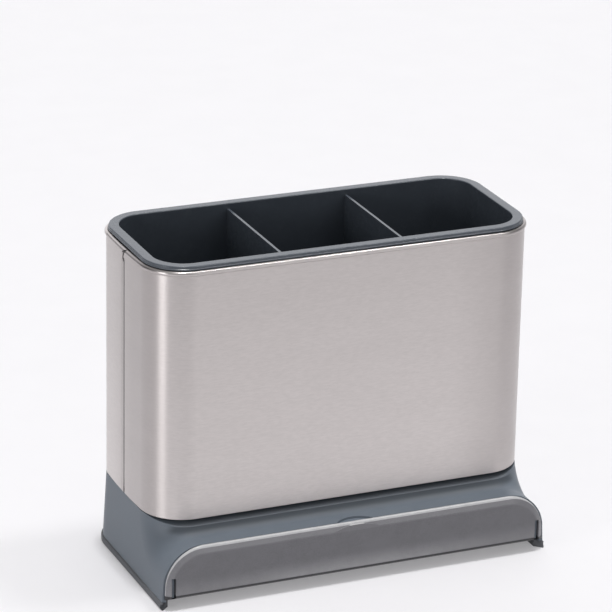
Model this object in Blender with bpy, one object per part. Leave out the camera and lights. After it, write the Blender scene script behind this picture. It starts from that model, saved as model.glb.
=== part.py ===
"""Cutlery drainer: flared plastic base, pull-out drip tray, steel sleeve and lift-out insert.

Metres, +Z up. X runs along the long side, -Y is the front with the drip tray, and Z = 0 is the
surface that the drainer stands on. The origin is the middle of the footprint.
"""
import math

import bmesh
import bpy
from mathutils import Matrix, Vector

# Sleeve: the outer faces of the steel set the plan of the whole drainer
SLEEVE_LENGTH = 0.180
SLEEVE_DEPTH = 0.0775
SLEEVE_CORNER = 0.0194
SLEEVE_FOOT = 0.0341
SLEEVE_TOP = 0.1485
SHEET = 0.0008
BEAD_RADIUS = 0.00115
BEAD_PROUD = 0.0007
SEAM_SPACING = 0.0025
SEAM_WIDTH = 0.0004
SEAM_CUT = 0.0003
RELIEF_WIDTH = 0.0012
RELIEF_HEIGHT = 0.0026

# Clearances
TOUCH = 0.0003
TRAY_SIDE_GAP = 0.0006
TRAY_BACK_GAP = 0.004
RUNNER_GAP = 0.0004

# Base shell
SHELL_WALL = 0.0018
SHELL_FLARE = 0.0018
FRONT_REACH = 0.0157
LIP_TOP = 0.028
LIP_CORNER = 0.017
HOOD_BEND = 0.0065
SLIT_DROP = 0.0023
SLIT_RAMP = 0.014
COLLAR_WALL = 0.0016
COLLAR_TOP = 0.044
DECK_THICKNESS = 0.0035
DECK_MARGIN = 0.006
NOTCH_CENTRE = -0.0013
NOTCH_WIDTH = 0.0175
NOTCH_DEPTH = 0.0041
NOTCH_SINK = 0.001
RUNNER_WIDTH = 0.0018
RUNNER_BOTTOM = 0.0054
RUNNER_TOP = 0.0146
RUNNER_SETBACK = 0.0003

# Non-slip foot rim
FOOT_HEIGHT = 0.003
FOOT_PROUD = 0.0024
FOOT_ROUND = 0.0008
TONGUE_WALL = 0.0013
FOOT_SETBACK = 0.0012

# Drip tray
TRAY_FLOOR = 0.0047
TRAY_WALL = 0.0016
TRAY_RIM = 0.021
FRONT_THICKNESS = 0.0042
FLANGE_THICKNESS = 0.0023
FLANGE_INSET = 0.0009
FRONT_EDGE = 0.0012
EDGE_TURN = 66
BORDER_FALL = 0.001
BORDER_TOP = 0.003
BORDER_SIDE = 0.00195
BORDER_CORNER = 0.0025
SLOT_WIDTH = 0.002
PAD_WIDTH = 0.0215
PAD_RISE = 0.0023
PAD_DROP = 0.0008

# Lift-out insert
RIM_TOP = 0.1505
RIM_INSET = 0.00105
RIM_WIDTH = 0.0046
RIM_STEP = 0.00035
RIM_STEP_HEIGHT = 0.0006
RIM_EDGE = 0.0006
INSERT_WALL = 0.0015
INSERT_FLOOR = 0.0382
INSERT_FLOOR_THICKNESS = 0.0018
DIVIDER_SPACING = 0.057
DIVIDER_WALL = 0.0012
DIVIDER_DROP = 0.0027
DRAIN_LENGTH = 0.016
DRAIN_WIDTH = 0.004
DRAIN_PITCH = 0.0095
DRAIN_ROWS = 5
DRAIN_COLUMNS = 2

# Resolution of the curved surfaces
CORNER_STEPS = 9
BEND_STEPS = 8
BEAD_STEPS = 10
SLOT_STEPS = 5
EDGE_STEPS = 3
CUT_MARGIN = 0.004
GRID_PLACES = 7

PLAN_Y = (FRONT_REACH - FOOT_PROUD) / 2
FRONT_Y = PLAN_Y - SLEEVE_DEPTH / 2 - FRONT_REACH
SHELL_TOP = SLEEVE_FOOT - TOUCH
SHELL_FOOT = FOOT_HEIGHT + TOUCH
BEND_HEIGHT = LIP_TOP + HOOD_BEND
LIP_Y = FRONT_Y + FLANGE_THICKNESS + TOUCH
DECK_UNDER = SHELL_TOP - DECK_THICKNESS
RUNNER_FACE = SLEEVE_LENGTH / 2 - SHELL_WALL - RUNNER_WIDTH
COLLAR_INSET = SHEET + TOUCH
RIM_INNER_INSET = RIM_INSET + RIM_WIDTH
WALL_OUTER_INSET = RIM_INNER_INSET - INSERT_WALL
RIM_SEAT = SLEEVE_TOP + TOUCH
TONGUE_TOP = TRAY_FLOOR - RUNNER_GAP


def clear_scene():
    for old in list(bpy.data.objects):
        bpy.data.objects.remove(old, do_unlink=True)


def new_collection(name):
    collection = bpy.data.collections.new(name)
    bpy.context.scene.collection.children.link(collection)
    return collection


clear_scene()
PARTS = new_collection("cutlery_drainer")
CUTTERS = new_collection("cutters")


def surface(name, colour, roughness, metallic=0.0):
    """A Principled material with one colour."""
    material = bpy.data.materials.new(name)
    material.use_nodes = True
    shader = material.node_tree.nodes["Principled BSDF"]
    shader.inputs["Base Color"].default_value = (*colour, 1.0)
    shader.inputs["Roughness"].default_value = roughness
    shader.inputs["Metallic"].default_value = metallic
    return material


def arc(centre_x, centre_y, radius, start, end, steps):
    """Points on an arc, from angle start to angle end in degrees."""
    points = []
    for step in range(steps + 1):
        angle = math.radians(start + (end - start) * step / steps)
        points.append((centre_x + radius * math.cos(angle), centre_y + radius * math.sin(angle)))
    return points


def plan_outline(inset):
    """The sleeve's outer outline moved inwards by inset, anticlockwise about its own middle."""
    half_x = SLEEVE_LENGTH / 2 - inset
    half_y = SLEEVE_DEPTH / 2 - inset
    radius = SLEEVE_CORNER - inset
    x, y = half_x - radius, half_y - radius
    return (
        arc(x, -y, radius, -90, 0, CORNER_STEPS)
        + arc(x, y, radius, 0, 90, CORNER_STEPS)
        + arc(-x, y, radius, 90, 180, CORNER_STEPS)
        + arc(-x, -y, radius, 180, 270, CORNER_STEPS)
    )


def arch(half, top, radius, foot):
    """An upright outline in X and Z with two rounded upper corners and a straight foot."""
    return (
        [(-half, foot), (half, foot)]
        + arc(half - radius, top - radius, radius, 0, 90, CORNER_STEPS)
        + arc(radius - half, top - radius, radius, 90, 180, CORNER_STEPS)
    )


def lip_arch(inset, foot):
    """The front lip's outline moved inwards by inset, down to the height foot."""
    return arch(SLEEVE_LENGTH / 2 - inset, LIP_TOP - inset, LIP_CORNER - inset, foot)


def curve_to_mesh(curve_object, collection):
    """The curve's own closed mesh as a new object in the same place."""
    depsgraph = bpy.context.evaluated_depsgraph_get()
    mesh = bpy.data.meshes.new_from_object(curve_object.evaluated_get(depsgraph))
    solid = bpy.data.objects.new(curve_object.name + "_mesh", mesh)
    solid.matrix_world = curve_object.matrix_world.copy()
    collection.objects.link(solid)
    name = curve_object.name
    bpy.data.objects.remove(curve_object, do_unlink=True)
    solid.name = name
    body = bmesh.new()
    body.from_mesh(mesh)
    bmesh.ops.remove_doubles(body, verts=body.verts, dist=0.000001)
    bmesh.ops.recalc_face_normals(body, faces=body.faces)
    body.to_mesh(mesh)
    body.free()
    snap_to_grid(solid)
    return solid


def snap_to_grid(solid):
    """Put the solid's own axes on the world's and its vertices on a fine grid, so faces meet exactly."""
    solid.data.transform(solid.matrix_world)
    solid.matrix_world = Matrix.Identity(4)
    for vertex in solid.data.vertices:
        vertex.co = [round(value, GRID_PLACES) for value in vertex.co]


def add_spline(data, points, cyclic=True):
    """Add a poly spline through the points to curve data."""
    spline = data.splines.new("POLY")
    spline.points.add(len(points) - 1)
    for point, (x, y) in zip(spline.points, points):
        point.co = (x, y, 0.0, 1.0)
    spline.use_cyclic_u = cyclic


def spline_curve(name, points, cyclic=True):
    """A flat poly curve in the scene through the points."""
    data = bpy.data.curves.new(name, "CURVE")
    data.dimensions = "2D"
    add_spline(data, points, cyclic)
    curve_object = bpy.data.objects.new(name, data)
    bpy.context.scene.collection.objects.link(curve_object)
    return curve_object


def without_repeats(points):
    """The outline without points that lie on the one before them."""
    kept = []
    for point in points:
        if not kept or math.dist(point, kept[-1]) > 0.000001:
            kept.append(point)
    if math.dist(kept[0], kept[-1]) < 0.000001:
        kept.pop()
    return kept


def plate(name, points, low, high, collection, upright=False):
    """A flat outline given thickness from low to high: in plan, or upright along Y."""
    outline = spline_curve(name, without_repeats(points))
    outline.data.fill_mode = "BOTH"
    outline.data.extrude = (high - low) / 2
    if upright:
        outline.matrix_world = Matrix.Translation((0, (low + high) / 2, 0)) @ Matrix.Rotation(math.pi / 2, 4, "X")
    else:
        outline.matrix_world = Matrix.Translation((0, PLAN_Y, (low + high) / 2))
    bpy.context.view_layer.update()
    return curve_to_mesh(outline, collection)


def box(name, low, high, collection):
    """A box between two corners."""
    bpy.ops.mesh.primitive_cube_add(size=1.0)
    cube = bpy.context.active_object
    cube.name = name
    centre = [(a + b) / 2 for a, b in zip(low, high)]
    size = [b - a for a, b in zip(low, high)]
    cube.data.transform(Matrix.Translation(centre) @ Matrix.Diagonal((*size, 1.0)))
    for other in list(cube.users_collection):
        other.objects.unlink(cube)
    collection.objects.link(cube)
    return cube


def disc(name, centre, radius, thickness, axis, collection):
    """A round cutter about the named axis, with its middle at centre."""
    bpy.ops.mesh.primitive_cylinder_add(vertices=48, radius=radius, depth=thickness)
    cylinder = bpy.context.active_object
    cylinder.name = name
    turn = Matrix.Rotation(math.pi / 2, 4, "X") if axis == "Y" else Matrix.Identity(4)
    cylinder.data.transform(Matrix.Translation(centre) @ turn)
    for other in list(cylinder.users_collection):
        other.objects.unlink(cylinder)
    collection.objects.link(cylinder)
    return cylinder


def combine(target, tool, operation):
    """Join or cut the target with a tool, which stays as a guide."""
    modifier = target.modifiers.new(f"{operation.lower()}_{tool.name}", "BOOLEAN")
    modifier.operation = operation
    modifier.object = tool
    modifier.solver = "EXACT"
    tool.hide_render = True
    tool.display_type = "WIRE"


def finish_piece(piece, material):
    """Keep a piece's finished shape, give it its material and smooth its round faces."""
    keep_shape(piece)
    piece.data.materials.clear()
    piece.data.materials.append(material)
    piece.data.shade_smooth()
    piece.data.set_sharp_from_angle(angle=math.radians(35))


def sweep_profile(name, path, profile, collection, cyclic=True):
    """A profile of (inset, height) points carried along a plan path, which runs anticlockwise."""
    guide = spline_curve(name + "_profile", profile)
    rail = spline_curve(name, without_repeats(path), cyclic)
    rail.data.bevel_mode = "OBJECT"
    rail.data.bevel_object = guide
    rail.data.use_fill_caps = not cyclic
    rail.matrix_world = Matrix.Translation((0, PLAN_Y, 0))
    bpy.context.view_layer.update()
    solid = curve_to_mesh(rail, collection)
    bpy.data.objects.remove(guide, do_unlink=True)
    return solid


def clear_tool(tool):
    """Remove a tool and the tools that shaped it."""
    for modifier in tool.modifiers:
        clear_tool(modifier.object)
    bpy.data.objects.remove(tool, do_unlink=True)


def keep_shape(solid):
    """Make the joined and cut shape the solid's own mesh and clear its tools away."""
    bpy.context.view_layer.update()
    depsgraph = bpy.context.evaluated_depsgraph_get()
    mesh = bpy.data.meshes.new_from_object(solid.evaluated_get(depsgraph))
    tools = [modifier.object for modifier in solid.modifiers]
    solid.modifiers.clear()
    solid.data = mesh
    for tool in tools:
        clear_tool(tool)


def flare_sides(solid):
    """Lean the end and back walls outwards towards the foot, square to the plan outline."""
    centre_x = SLEEVE_LENGTH / 2 - SLEEVE_CORNER
    centre_y = PLAN_Y + SLEEVE_DEPTH / 2 - SLEEVE_CORNER
    for vertex in solid.data.vertices:
        place = vertex.co.copy()
        lean = SHELL_FLARE * (SHELL_TOP - place.z) / SHELL_TOP
        if place.y > centre_y:
            past_x = place.x - max(-centre_x, min(centre_x, place.x))
            outward = Vector((past_x, place.y - centre_y, 0)).normalized()
            place += outward * lean
        else:
            place.x *= 1 + lean / (SLEEVE_LENGTH / 2)
        vertex.co = place


def loft(name, rings, collection):
    """A closed solid through rings of equal point counts, with flat ends."""
    body = bmesh.new()
    loops = [[body.verts.new(point) for point in ring] for ring in rings]
    body.faces.new(loops[0])
    body.faces.new(loops[-1])
    for one, other in zip(loops, loops[1:]):
        for index, vertex in enumerate(one):
            after = (index + 1) % len(one)
            body.faces.new((vertex, one[after], other[after], other[index]))
    bmesh.ops.recalc_face_normals(body, faces=body.faces)
    mesh = bpy.data.meshes.new(name)
    body.to_mesh(mesh)
    body.free()
    solid = bpy.data.objects.new(name, mesh)
    collection.objects.link(solid)
    snap_to_grid(solid)
    return solid


def hood(name, inset, reach, foot, collection):
    """The front outline of the plan, turned forwards through a right angle and run out to the lip.

    The corner radius of the outline changes from the sleeve's to the lip's on the way. It ends
    beyond the lip by reach and is deep enough to come down to the height foot at the lip.
    """
    half = SLEEVE_LENGTH / 2 - inset
    pivot_y = PLAN_Y - SLEEVE_DEPTH / 2 - HOOD_BEND
    depth = LIP_TOP - inset - foot
    rings = []
    for step in range(BEND_STEPS + 2):
        share = min(step / BEND_STEPS, 1)
        radius = SLEEVE_CORNER + (LIP_CORNER - SLEEVE_CORNER) * share - inset
        turn = math.pi / 2 * share
        section = (
            [(half, depth), (-half, depth)]
            + arc(radius - half, radius, radius, 180, 270, CORNER_STEPS)
            + arc(half - radius, radius, radius, 270, 360, CORNER_STEPS)
        )
        forward = pivot_y - LIP_Y + reach if step > BEND_STEPS else 0
        rings.append([])
        for x, deep in section:
            arm = HOOD_BEND + inset + deep
            y = pivot_y + arm * math.cos(turn) - forward
            rings[-1].append((x, y, BEND_HEIGHT - arm * math.sin(turn)))
    return loft(name, rings, collection)


def chord_radius(width, rise):
    """The radius of the arc that rises by rise over a chord of the given width."""
    return (width**2 / 4 + rise**2) / (2 * rise)


def make_sleeve():
    """The steel sleeve: one sheet with a rolled top edge and a folded seam up the left end."""
    roll_inset = BEAD_RADIUS - BEAD_PROUD
    outer_angle = 270 - math.degrees(math.asin(roll_inset / BEAD_RADIUS))
    inner_angle = -90 + math.degrees(math.asin((SHEET - roll_inset) / BEAD_RADIUS))
    roll = arc(roll_inset, SLEEVE_TOP - BEAD_RADIUS, BEAD_RADIUS, outer_angle, inner_angle, BEAD_STEPS)
    profile = [(0.0, SLEEVE_FOOT)] + roll + [(SHEET, SLEEVE_FOOT)]
    sleeve = sweep_profile("steel_sleeve", plan_outline(0.0), profile, PARTS)
    end_face = -SLEEVE_LENGTH / 2
    for side, name in ((-1, "seam_line_front"), (1, "seam_line_back")):
        middle = PLAN_Y + side * SEAM_SPACING / 2
        low = (end_face - CUT_MARGIN, middle - SEAM_WIDTH / 2, SLEEVE_FOOT - CUT_MARGIN)
        high = (end_face + SEAM_CUT, middle + SEAM_WIDTH / 2, SLEEVE_TOP - 2.4 * BEAD_RADIUS)
        combine(sleeve, box(name, low, high, CUTTERS), "DIFFERENCE")
    relief_y = PLAN_Y - SEAM_SPACING / 2
    low = (end_face - CUT_MARGIN, relief_y - RELIEF_WIDTH / 2, SLEEVE_FOOT - CUT_MARGIN)
    high = (end_face + CUT_MARGIN, relief_y + RELIEF_WIDTH / 2, SLEEVE_FOOT + RELIEF_HEIGHT)
    combine(sleeve, box("seam_relief", low, high, CUTTERS), "DIFFERENCE")
    finish_piece(sleeve, surface("brushed_steel", (0.55, 0.53, 0.52), 0.34, 1.0))


def cut_front_slit(shell):
    """Lower the shell's top and end its collar along the front, with a ramp round each corner."""
    slope = math.atan2(SLIT_DROP, SLIT_RAMP)
    start = Vector((0, PLAN_Y - SLEEVE_DEPTH / 2 + SLIT_RAMP, SHELL_TOP))
    reach, height = SLIT_RAMP + FRONT_REACH, COLLAR_TOP - SHELL_TOP + 2 * SLIT_DROP
    half = SLEEVE_LENGTH / 2 + CUT_MARGIN
    wedge = box("front_slit", (-half, -reach, 0), (half, 0, height), CUTTERS)
    wedge.matrix_world = Matrix.Translation(start) @ Matrix.Rotation(slope, 4, "X")
    combine(shell, wedge, "DIFFERENCE")


def hollow_shell(shell):
    """Take out the inside of the shell below the deck, open to the floor and to the front."""
    inner = plate("shell_inside", plan_outline(SHELL_WALL), -CUT_MARGIN, DECK_UNDER, CUTTERS)
    inner_hood = hood("hood_inside", SHELL_WALL, CUT_MARGIN, -3 * CUT_MARGIN, CUTTERS)
    half = SLEEVE_LENGTH / 2
    above = box("above_deck", (-half, -half, DECK_UNDER), (half, half, SLEEVE_TOP), CUTTERS)
    combine(inner_hood, above, "DIFFERENCE")
    combine(shell, inner, "DIFFERENCE")
    combine(shell, inner_hood, "DIFFERENCE")


def add_collar(shell):
    """The upstand that the sleeve slips over, with the deck inside it and the drain opening."""
    inner_inset = COLLAR_INSET + COLLAR_WALL
    root = DECK_UNDER + TOUCH
    collar = plate("collar", plan_outline(COLLAR_INSET), root, COLLAR_TOP, CUTTERS)
    well = plate("collar_well", plan_outline(inner_inset), SHELL_TOP, COLLAR_TOP + CUT_MARGIN, CUTTERS)
    opening_outline = plan_outline(inner_inset + DECK_MARGIN)
    opening = plate("deck_opening", opening_outline, DECK_UNDER - CUT_MARGIN, COLLAR_TOP, CUTTERS)
    combine(shell, collar, "UNION")
    combine(shell, well, "DIFFERENCE")
    combine(shell, opening, "DIFFERENCE")


def add_runners(shell):
    """The two ribs inside the end walls that carry the drip tray."""
    front = LIP_Y + RUNNER_SETBACK
    back = PLAN_Y + SLEEVE_DEPTH / 2 - SLEEVE_CORNER
    for side, name in ((-1, "runner_left"), (1, "runner_right")):
        ends = sorted((side * RUNNER_FACE, side * SLEEVE_LENGTH / 2))
        rib = box(name, (ends[0], front, RUNNER_BOTTOM), (ends[1], back, RUNNER_TOP), CUTTERS)
        combine(shell, rib, "UNION")


def cut_finger_notch(shell):
    """The shallow round notch in the top of the lip, behind the upper edge of the tray front."""
    radius = chord_radius(NOTCH_WIDTH, NOTCH_DEPTH)
    centre = (NOTCH_CENTRE, LIP_Y + NOTCH_DEPTH - radius, LIP_TOP)
    combine(shell, disc("finger_notch", centre, radius, 2 * NOTCH_SINK, "Z", CUTTERS), "DIFFERENCE")


def make_shell():
    """The base shell: flared skirt, bent hood to the front lip, collar, deck and tray runners."""
    shell = plate("base_shell", plan_outline(0.0), 0.0, SHELL_TOP, PARTS)
    combine(shell, hood("hood_outside", 0.0, 0.0, -2 * CUT_MARGIN, CUTTERS), "UNION")
    half = SLEEVE_LENGTH / 2 + FRONT_REACH
    below = box("below_foot", (-half, -half, -3 * CUT_MARGIN), (half, half, SHELL_FOOT), CUTTERS)
    above = box("above_shell", (-half, -half, SHELL_TOP), (half, half, SLEEVE_TOP), CUTTERS)
    combine(shell, below, "DIFFERENCE")
    combine(shell, above, "DIFFERENCE")
    hollow_shell(shell)
    keep_shape(shell)
    flare_sides(shell)
    add_collar(shell)
    cut_front_slit(shell)
    add_runners(shell)
    cut_finger_notch(shell)
    finish_piece(shell, surface("blue_grey_plastic", (0.16, 0.19, 0.22), 0.38))


def make_foot_rim():
    """The soft rim under the end and back walls, with a tongue that grips them inside."""
    flare = SHELL_FLARE * (SHELL_TOP - SHELL_FOOT) / SHELL_TOP
    half_x = SLEEVE_LENGTH / 2 + flare
    half_y = SLEEVE_DEPTH / 2 + flare
    radius = SLEEVE_CORNER + flare
    front = FRONT_Y - PLAN_Y + FOOT_SETBACK
    path = (
        [(-half_x, front)]
        + arc(radius - half_x, half_y - radius, radius, 180, 90, CORNER_STEPS)
        + arc(half_x - radius, half_y - radius, radius, 90, 0, CORNER_STEPS)
        + [(half_x, front)]
    )
    outer = flare - FOOT_PROUD
    groove = SHELL_WALL + TOUCH
    inner = groove + TONGUE_WALL
    upper = arc(outer + FOOT_ROUND, FOOT_HEIGHT - FOOT_ROUND, FOOT_ROUND, 90, 180, 3)
    lower = arc(outer + FOOT_ROUND, FOOT_ROUND, FOOT_ROUND, 180, 270, 3)
    tongue = [(inner, 0.0), (inner, TONGUE_TOP), (groove, TONGUE_TOP), (groove, FOOT_HEIGHT)]
    foot = sweep_profile("nonslip_foot_rim", path, tongue + upper + lower, PARTS, cyclic=False)
    finish_piece(foot, surface("soft_dark_grey", (0.06, 0.062, 0.068), 0.6))


def bin_outline(half_x, inset):
    """The bin in plan, square at the front and rounded at the back, about the sleeve's middle."""
    front = FRONT_Y - PLAN_Y + (FLANGE_THICKNESS + FRONT_THICKNESS) / 2
    if inset > 0:
        front = FRONT_Y - PLAN_Y + FRONT_THICKNESS
    back = SLEEVE_DEPTH / 2 - SHELL_WALL - TRAY_BACK_GAP - inset
    radius = SLEEVE_CORNER - TRAY_BACK_GAP - inset
    return (
        [(-half_x + inset, front), (half_x - inset, front)]
        + arc(half_x - inset - radius, back - radius, radius, 0, 90, CORNER_STEPS)
        + arc(radius + inset - half_x, back - radius, radius, 90, 180, CORNER_STEPS)
    )


def bin_solid(name, inset, top):
    """The bin between the runners, with shoulders that ride on them, all within the lip's arch."""
    wide_half = SLEEVE_LENGTH / 2 - SHELL_WALL - TRAY_SIDE_GAP
    narrow_half = RUNNER_FACE - TRAY_SIDE_GAP
    shoulder = RUNNER_TOP + RUNNER_GAP + inset
    solid = plate(name, bin_outline(wide_half, inset), shoulder, top, CUTTERS)
    narrow = plate(name + "_narrow", bin_outline(narrow_half, inset), TRAY_FLOOR + inset, top, CUTTERS)
    outline = lip_arch(SHELL_WALL + TRAY_SIDE_GAP + inset, -CUT_MARGIN)
    within = plate(name + "_arch", outline, FRONT_Y - CUT_MARGIN, SLEEVE_DEPTH, CUTTERS, True)
    combine(solid, narrow, "UNION")
    combine(solid, within, "INTERSECT")
    return solid


def add_tray_bin(tray):
    """The open bin behind the tray front."""
    combine(tray, bin_solid("tray_bin", 0.0, TRAY_RIM), "UNION")
    combine(tray, bin_solid("tray_bin_inside", TRAY_WALL, TRAY_RIM + TRAY_WALL), "DIFFERENCE")


def front_rings():
    """Rings of the tray front: rounded outer edge, sloping border and flat panel."""
    half = SLEEVE_LENGTH / 2 - FLANGE_INSET
    border_y = FRONT_Y + BORDER_FALL + FRONT_EDGE * math.sin(math.radians(EDGE_TURN))
    levels = [(0.0, FRONT_Y + FLANGE_THICKNESS)]
    for deep, high in arc(0, 0, FRONT_EDGE, 0, EDGE_TURN, EDGE_STEPS):
        levels.append((FRONT_EDGE - deep, border_y - high))
    rings = []
    for inset, y in levels:
        outline = arch(half - inset, LIP_TOP - inset, LIP_CORNER - inset, TRAY_FLOOR + inset / 2)
        rings.append([(x, y, z) for x, z in outline])
    panel = arch(half - BORDER_SIDE, LIP_TOP - BORDER_TOP, LIP_CORNER - BORDER_CORNER, TRAY_FLOOR + FRONT_EDGE)
    rings.append([(x, FRONT_Y, z) for x, z in panel])
    return rings


def add_pad(tray):
    """The round-topped pad in the middle of the border, level with the panel."""
    radius = chord_radius(PAD_WIDTH, PAD_RISE)
    top = LIP_TOP - PAD_DROP
    spread = math.degrees(math.asin(PAD_WIDTH / 2 / radius))
    crown = arc(NOTCH_CENTRE, top - radius, radius, 90 - spread, 90 + spread, 2 * CORNER_STEPS)
    foot = top - PAD_RISE - BORDER_TOP / 2
    outline = [(NOTCH_CENTRE - PAD_WIDTH / 2, foot), (NOTCH_CENTRE + PAD_WIDTH / 2, foot)] + crown
    back = FRONT_Y + FLANGE_THICKNESS - TOUCH
    combine(tray, plate("front_pad", outline, FRONT_Y, back, CUTTERS, True), "UNION")


def cut_runner_slots(tray):
    """Open the tray front at both ends for the runners, wider behind the flange than in it."""
    start = RUNNER_FACE - TOUCH
    bottom, top = RUNNER_BOTTOM - TOUCH, RUNNER_TOP + RUNNER_GAP
    back = FRONT_Y + FRONT_THICKNESS + CUT_MARGIN
    for side, name in ((-1, "left"), (1, "right")):
        narrow = sorted((side * start, side * (start + SLOT_WIDTH)))
        wide = sorted((side * start, side * (SLEEVE_LENGTH / 2 + SHELL_FLARE)))
        slot = box("slot_" + name, (narrow[0], FRONT_Y - CUT_MARGIN, bottom), (narrow[1], back, top), CUTTERS)
        flange_back = FRONT_Y + FLANGE_THICKNESS
        room = box("room_" + name, (wide[0], flange_back, bottom), (wide[1], back, top), CUTTERS)
        combine(tray, slot, "DIFFERENCE")
        combine(tray, room, "DIFFERENCE")


def make_tray():
    """The drip tray: an arched front that covers the shell's lip, and the bin behind it."""
    tray = loft("drip_tray", front_rings(), PARTS)
    flare_sides(tray)
    outline = lip_arch(SHELL_WALL + TOUCH, TRAY_FLOOR)
    start = FRONT_Y + FLANGE_THICKNESS - TOUCH
    body = plate("front_body", outline, start, FRONT_Y + FRONT_THICKNESS, CUTTERS, True)
    flare_sides(body)
    combine(tray, body, "UNION")
    add_pad(tray)
    add_tray_bin(tray)
    cut_runner_slots(tray)
    finish_piece(tray, surface("neutral_grey_plastic", (0.15, 0.148, 0.158), 0.4))


def make_insert():
    """The lift-out insert: rim, straight walls, two dividers and a slotted floor."""
    outer, inner = RIM_INSET, RIM_INNER_INSET
    under = INSERT_FLOOR - INSERT_FLOOR_THICKNESS
    ledge = RIM_SEAT + RIM_STEP_HEIGHT
    profile = [
        (inner, under),
        (inner, RIM_TOP - RIM_EDGE),
        (inner - RIM_EDGE, RIM_TOP),
        (outer + 1.5 * RIM_EDGE, RIM_TOP),
        (outer + RIM_EDGE / 2, RIM_TOP - RIM_EDGE / 3),
        (outer, RIM_TOP - RIM_EDGE),
        (outer, ledge),
        (outer - RIM_STEP, ledge - RIM_STEP / 2),
        (outer - RIM_STEP, RIM_SEAT),
        (WALL_OUTER_INSET, RIM_SEAT),
        (WALL_OUTER_INSET, under),
    ]
    insert = sweep_profile("cutlery_insert", plan_outline(0.0), profile, PARTS)
    middle_of_wall = WALL_OUTER_INSET + INSERT_WALL / 2
    floor = plate("insert_floor", plan_outline(middle_of_wall), under, INSERT_FLOOR, CUTTERS)
    combine(insert, floor, "UNION")
    end_y = SLEEVE_DEPTH / 2 - middle_of_wall
    for side, name in ((-1, "divider_left"), (1, "divider_right")):
        middle = side * DIVIDER_SPACING / 2
        low = (middle - DIVIDER_WALL / 2, PLAN_Y - end_y, (under + INSERT_FLOOR) / 2)
        high = (middle + DIVIDER_WALL / 2, PLAN_Y + end_y, RIM_TOP - DIVIDER_DROP)
        combine(insert, box(name, low, high, CUTTERS), "UNION")
    combine(insert, drain_slots(under), "DIFFERENCE")
    finish_piece(insert, surface("dark_grey_plastic", (0.085, 0.09, 0.097), 0.36))


def drain_slots(under):
    """One cutter with the round-ended drain slots of all three compartments."""
    end_middle = (DIVIDER_SPACING / 2 + SLEEVE_LENGTH / 2 - RIM_INNER_INSET) / 2
    radius = DRAIN_WIDTH / 2
    reach = DRAIN_LENGTH / 2 - radius
    cutter = spline_curve("drain_slots", arc(0, 0, radius, 0, 360, 4)[:-1])
    cutter.data.splines.clear()
    for middle in (-end_middle, 0.0, end_middle):
        for column in range(DRAIN_COLUMNS):
            x = middle + (column - (DRAIN_COLUMNS - 1) / 2) * (DRAIN_LENGTH + 2 * DRAIN_WIDTH)
            for row in range(DRAIN_ROWS):
                y = (row - (DRAIN_ROWS - 1) / 2) * DRAIN_PITCH
                right = arc(x + reach, y, radius, -90, 90, SLOT_STEPS)
                left = arc(x - reach, y, radius, 90, 270, SLOT_STEPS)
                add_spline(cutter.data, right + left)
    cutter.data.fill_mode = "BOTH"
    cutter.data.extrude = INSERT_FLOOR_THICKNESS
    cutter.matrix_world = Matrix.Translation((0, PLAN_Y, under + INSERT_FLOOR_THICKNESS / 2))
    bpy.context.view_layer.update()
    return curve_to_mesh(cutter, CUTTERS)


make_sleeve()
make_shell()
make_foot_rim()
make_tray()
make_insert()
bpy.context.view_layer.update()
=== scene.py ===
"""Looks for the cutlery drainer: fine surfaces, materials, floor, light and camera.

Metres, +Z up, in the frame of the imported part. -Y is the front, and Z = 0 is the floor.
"""
import math

import bmesh
import bpy
from mathutils import Matrix, Vector


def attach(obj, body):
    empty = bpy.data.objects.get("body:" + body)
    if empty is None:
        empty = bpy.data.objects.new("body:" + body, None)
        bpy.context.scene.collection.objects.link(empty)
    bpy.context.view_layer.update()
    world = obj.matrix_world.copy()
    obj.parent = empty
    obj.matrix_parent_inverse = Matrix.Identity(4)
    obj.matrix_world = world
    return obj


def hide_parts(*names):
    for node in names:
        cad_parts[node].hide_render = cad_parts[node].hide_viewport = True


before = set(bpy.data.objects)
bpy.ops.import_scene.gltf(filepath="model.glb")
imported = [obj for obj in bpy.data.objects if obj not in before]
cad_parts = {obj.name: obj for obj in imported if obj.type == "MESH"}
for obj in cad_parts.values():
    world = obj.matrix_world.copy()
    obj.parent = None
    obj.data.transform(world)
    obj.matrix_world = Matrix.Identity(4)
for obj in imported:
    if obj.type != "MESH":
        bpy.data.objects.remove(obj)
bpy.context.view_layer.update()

# Sizes of the steel sleeve
SLEEVE_LENGTH = 0.180
SLEEVE_DEPTH = 0.0775
SLEEVE_CORNER = 0.0194
SLEEVE_FOOT = 0.0341
SLEEVE_TOP = 0.1485
SHEET = 0.0008
BEAD_RADIUS = 0.00115
BEAD_PROUD = 0.0007
SHEET_EDGE = 0.0001
SEAM_SPACING = 0.0025
SEAM_GAP = 0.001
SEAM_BACK_GAP = 0.0004
SEAM_BACK_SHARE = 0.3
SEAM_FLOOR_SHARE = 0.48
SEAM_GROOVE = 0.0003
SEAM_TOP = SLEEVE_TOP - 0.0054
# The seam strip is a dark piece of painted shade inside the groove
SEAM_STRIP_DEPTH = 0.00008
SEAM_STRIP_SHARE = 0.42
SEAM_STRIP_TOP = SLEEVE_TOP - 0.0052
HOOK_RADIUS = 0.0042
HOOK_WIDTH = 0.0012
HOOK_FORWARD = 0.0027
HOOK_DROP = 0.0048
HOOK_ANGLES = (-8, 92)
HOOK_HOLE_BACK = 0.0006
HOOK_HOLE_DROP = 0.0005
HOOK_HOLE_RADIUS = 0.0009
SHADE_DEPTHS = (0.00025, 0.0006)
SHADE_FRONT = 0.0038
SHADE_BACK = 0.0024
SHADE_DROPS = (0.0064, 0.0004)
RELIEF_WIDTH = 0.0012
RELIEF_HEIGHT = 0.0026
END_CUT = 0.002
END_BOW = 0.0005

# Clearances between the pieces
TOUCH = 0.0003
TRAY_SIDE_GAP = 0.0006
TRAY_BACK_GAP = 0.004
RUNNER_GAP = 0.0004

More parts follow.
